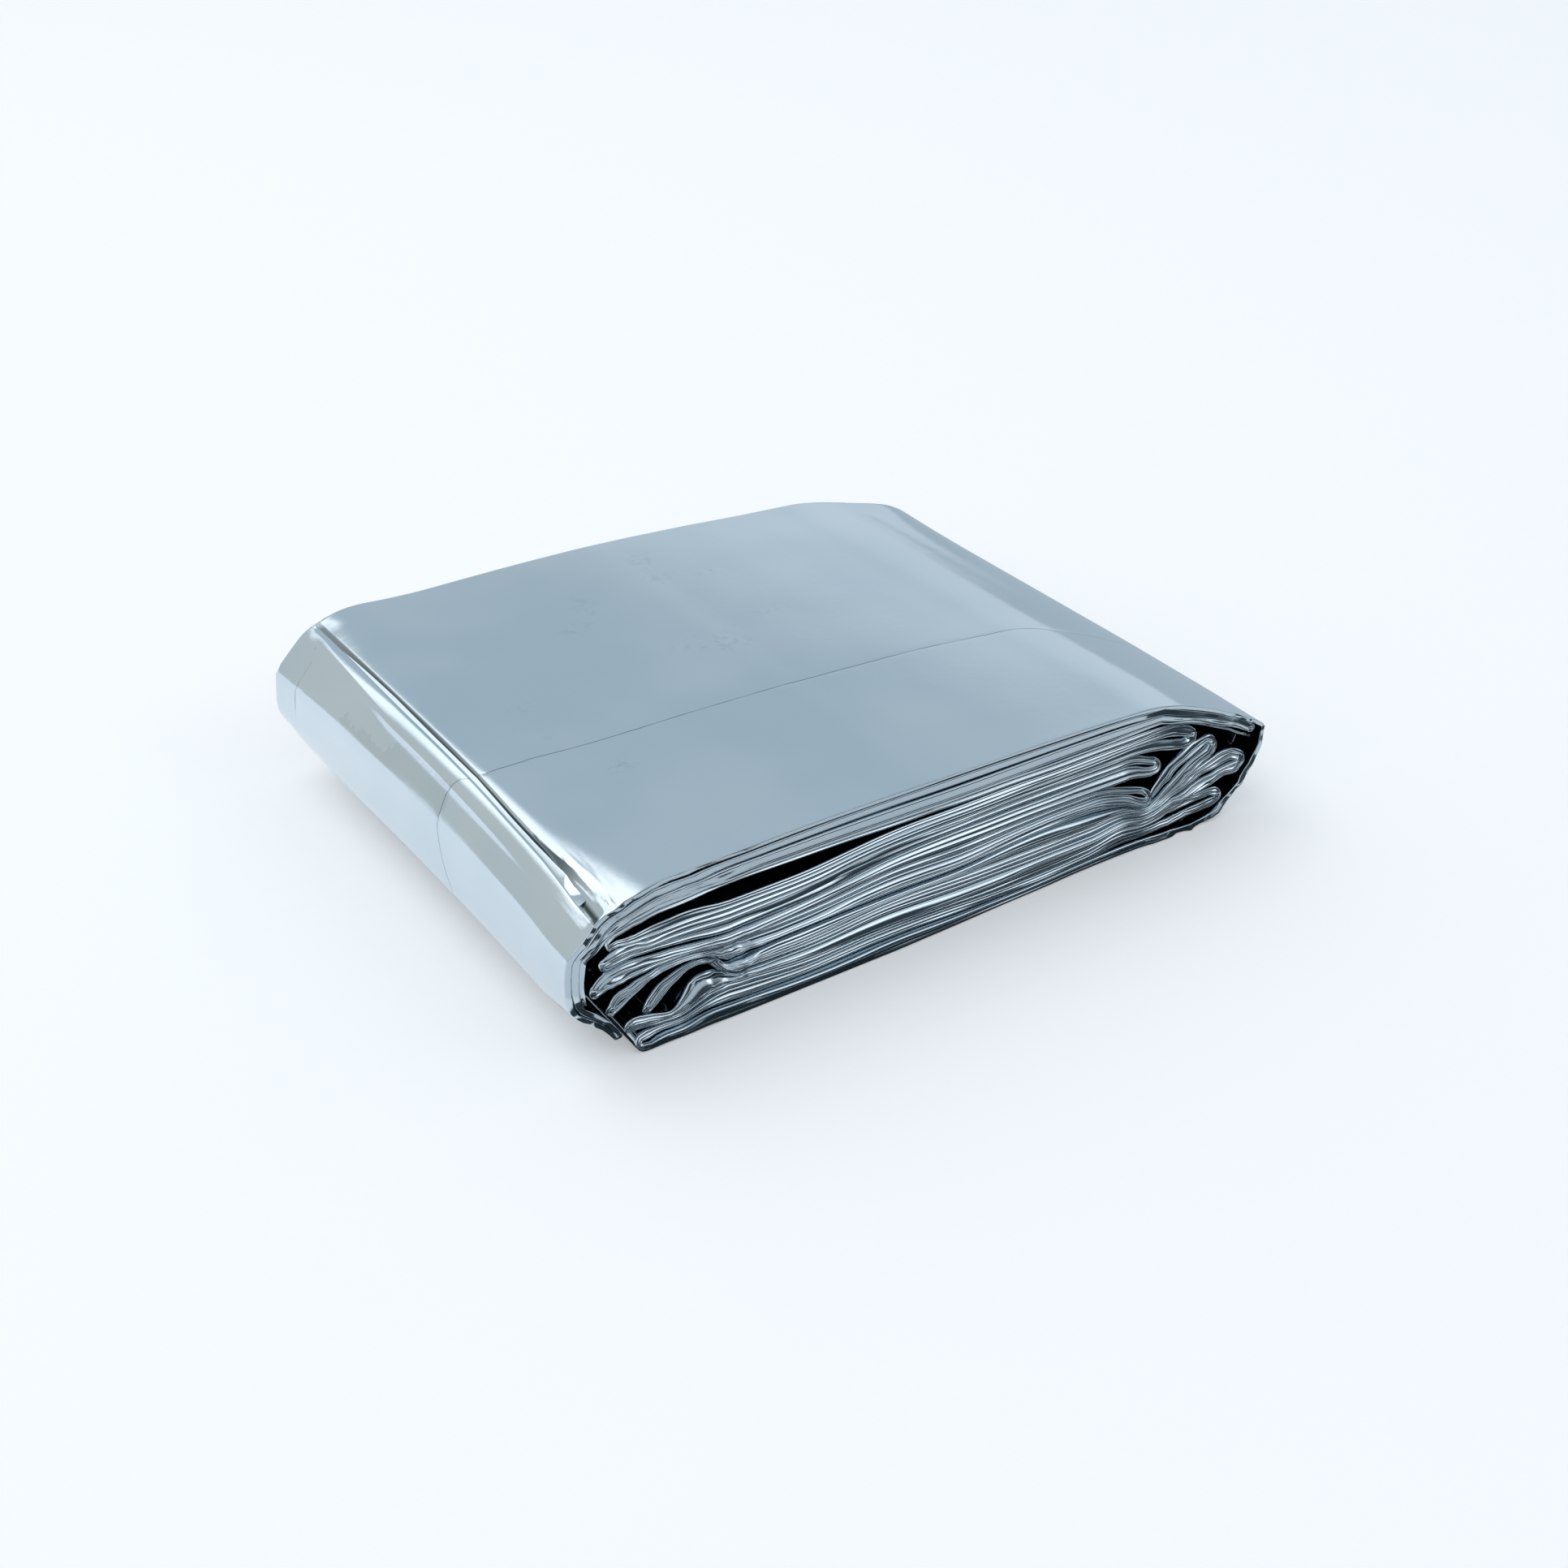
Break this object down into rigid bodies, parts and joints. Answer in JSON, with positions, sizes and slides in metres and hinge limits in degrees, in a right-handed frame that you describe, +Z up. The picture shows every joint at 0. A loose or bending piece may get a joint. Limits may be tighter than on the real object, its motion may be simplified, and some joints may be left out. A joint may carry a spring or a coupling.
{
  "type": "folded emergency foil blanket",
  "caption": "Emergency blanket of thin silver metallised film, folded into a low packet with one rounded end, one pointed end and its layer edges showing along a long side.",
  "frame": {"origin": "centre of the packet's footprint, on the surface that it rests on", "axes": "+X along the long side from the rounded end to the pointed end, +Y from the long side that shows the layer edges to the opposite one, +Z up through the layers"},
  "size_m": [0.1257, 0.096, 0.0268],
  "materials": {
    "silver_film": "bright, mirror-like silver film with a cool tint, lightly creased"
  },
  "bodies": {
    "root": {"foil_blanket": "silver_film"}
  },
  "joints": []
}
